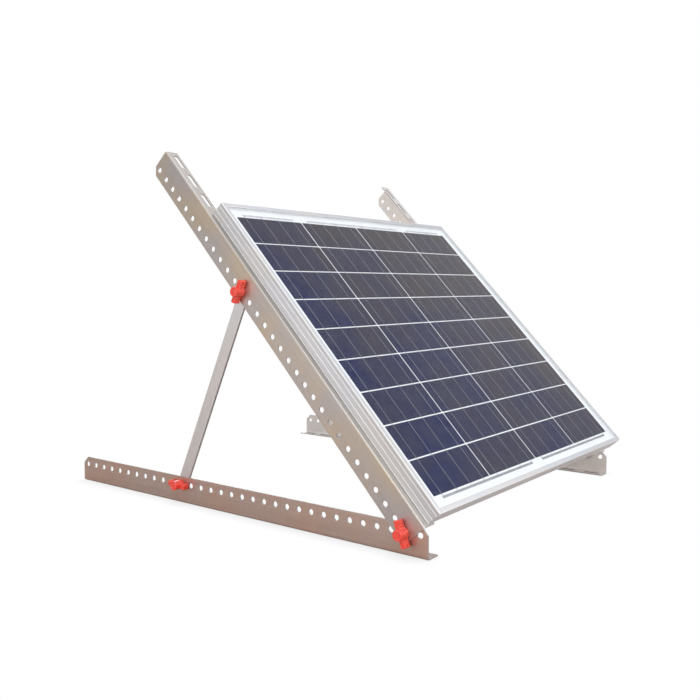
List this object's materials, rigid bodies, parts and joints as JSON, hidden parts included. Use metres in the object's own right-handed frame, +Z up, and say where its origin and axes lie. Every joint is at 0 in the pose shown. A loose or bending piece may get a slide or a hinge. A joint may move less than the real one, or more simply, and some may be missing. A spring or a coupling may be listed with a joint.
{
  "type": "solar panel on tilt stand",
  "caption": "Framed flat photovoltaic panel bolted to two slotted angle legs that tilt on perforated base legs, held by flat struts and winged hand knobs.",
  "frame": {"origin": "underside of the left base leg's flange, straight below the front pivot axis", "axes": "+X from the left leg to the right leg, +Y from the front pivot to the rear, +Z up; the feet stand on z = 0"},
  "size_m": [0.6991, 0.718, 0.5619],
  "materials": {
    "satin_aluminium": "satin mill finish",
    "anodised_frame": "satin anodised",
    "key_casting": "as cast",
    "zinc_steel": "zinc plated",
    "red_plastic": "gloss moulded",
    "silicon_cell": "polycrystalline silicon, opaque, antireflective",
    "tinned_ribbon": "tinned copper",
    "white_backsheet": "satin film",
    "clear_encapsulant": "clear film",
    "panel_glass": "tempered, smooth",
    "edge_sealant": "cured sealant",
    "black_plastic": "fine moulded texture",
    "cable_jacket": "matte jacket"
  },
  "bodies": {
    "base": {"base_leg_left": "satin_aluminium", "base_leg_right": "satin_aluminium", "pivot_bolt_left": "zinc_steel", "pivot_bolt_right": "zinc_steel", "lower_bolt_left": "zinc_steel", "lower_bolt_right": "zinc_steel"},
    "upper_frame": {"glass": "panel_glass", "front_encapsulant": "clear_encapsulant", "cell_string_1": "silicon_cell", "cell_string_2": "silicon_cell", "cell_string_3": "silicon_cell", "cell_string_4": "silicon_cell", "bus_ribbon_bottom_1": "tinned_ribbon", "bus_ribbon_bottom_2": "tinned_ribbon", "bus_ribbon_top_1": "tinned_ribbon", "bus_ribbon_top_2": "tinned_ribbon", "bus_ribbon_top_3": "tinned_ribbon", "rear_encapsulant": "clear_encapsulant", "backsheet": "white_backsheet", "edge_seal": "edge_sealant", "frame_left": "anodised_frame", "frame_right": "anodised_frame", "frame_top": "anodised_frame", "frame_bottom": "anodised_frame", "corner_key_1": "key_casting", "corner_key_2": "key_casting", "corner_key_3": "key_casting", "corner_key_4": "key_casting", "junction_box": "black_plastic", "junction_lid": "black_plastic", "diode_strip": "tinned_ribbon", "cable_negative": "cable_jacket", "cable_positive": "cable_jacket", "connector_negative": "black_plastic", "connector_positive": "black_plastic", "upper_leg_left": "satin_aluminium", "upper_leg_right": "satin_aluminium", "panel_bolt_1": "zinc_steel", "panel_bolt_2": "zinc_steel", "panel_bolt_3": "zinc_steel", "panel_bolt_4": "zinc_steel", "panel_insert_1": "zinc_steel", "panel_insert_2": "zinc_steel", "panel_insert_3": "zinc_steel", "panel_insert_4": "zinc_steel", "upper_stud_left": "zinc_steel", "upper_stud_right": "zinc_steel", "upper_spacer_left": "zinc_steel", "upper_spacer_right": "zinc_steel"},
    "left_strut": {"strut_left": "satin_aluminium", "strut_bolt_left": "zinc_steel"},
    "right_strut": {"strut_right": "satin_aluminium", "strut_bolt_right": "zinc_steel"},
    "pivot_knob_left_body": {"pivot_knob_left": "red_plastic"},
    "lower_knob_left_body": {"lower_knob_left": "red_plastic"},
    "upper_knob_left_body": {"upper_knob_left": "red_plastic"},
    "pivot_knob_right_body": {"pivot_knob_right": "red_plastic"},
    "lower_knob_right_body": {"lower_knob_right": "red_plastic"},
    "upper_knob_right_body": {"upper_knob_right": "red_plastic"}
  },
  "joints": [
    {"name": "panel_tilt", "type": "hinge", "parent": "base", "child": "upper_frame", "pos_m": [0.315, 0, 0.03], "axis": [1, 0, 0], "range_deg": [-37, 4]},
    {"name": "strut_swing_left", "type": "hinge", "parent": "base", "child": "left_strut", "pos_m": [-0.004, 0.418, 0.03], "axis": [1, 0, 0], "range_deg": [-113.5, 12.5]},
    {"name": "strut_swing_right", "type": "hinge", "parent": "base", "child": "right_strut", "pos_m": [0.634, 0.418, 0.03], "axis": [1, 0, 0], "range_deg": [-113.5, 12.5]},
    {"name": "pivot_knob_spin_left", "type": "hinge", "parent": "base", "child": "pivot_knob_left_body", "pos_m": [-0.016, 0, 0.03], "axis": [1, 0, 0], "continuous": true},
    {"name": "lower_knob_spin_left", "type": "hinge", "parent": "base", "child": "lower_knob_left_body", "pos_m": [-0.016, 0.418, 0.03], "axis": [1, 0, 0], "continuous": true},
    {"name": "upper_knob_spin_left", "type": "hinge", "parent": "upper_frame", "child": "upper_knob_left_body", "pos_m": [-0.016, 0.2824, 0.33818], "axis": [1, 0, 0], "continuous": true},
    {"name": "pivot_knob_spin_right", "type": "hinge", "parent": "base", "child": "pivot_knob_right_body", "pos_m": [0.646, 0, 0.03], "axis": [1, 0, 0], "continuous": true},
    {"name": "lower_knob_spin_right", "type": "hinge", "parent": "base", "child": "lower_knob_right_body", "pos_m": [0.646, 0.418, 0.03], "axis": [1, 0, 0], "continuous": true},
    {"name": "upper_knob_spin_right", "type": "hinge", "parent": "upper_frame", "child": "upper_knob_right_body", "pos_m": [0.646, 0.2824, 0.33818], "axis": [1, 0, 0], "continuous": true}
  ],
  "couplings": [
    {"joint": "strut_swing_left", "follows": "panel_tilt", "ratio": 3.06},
    {"joint": "strut_swing_right", "follows": "panel_tilt", "ratio": 3.06}
  ]
}
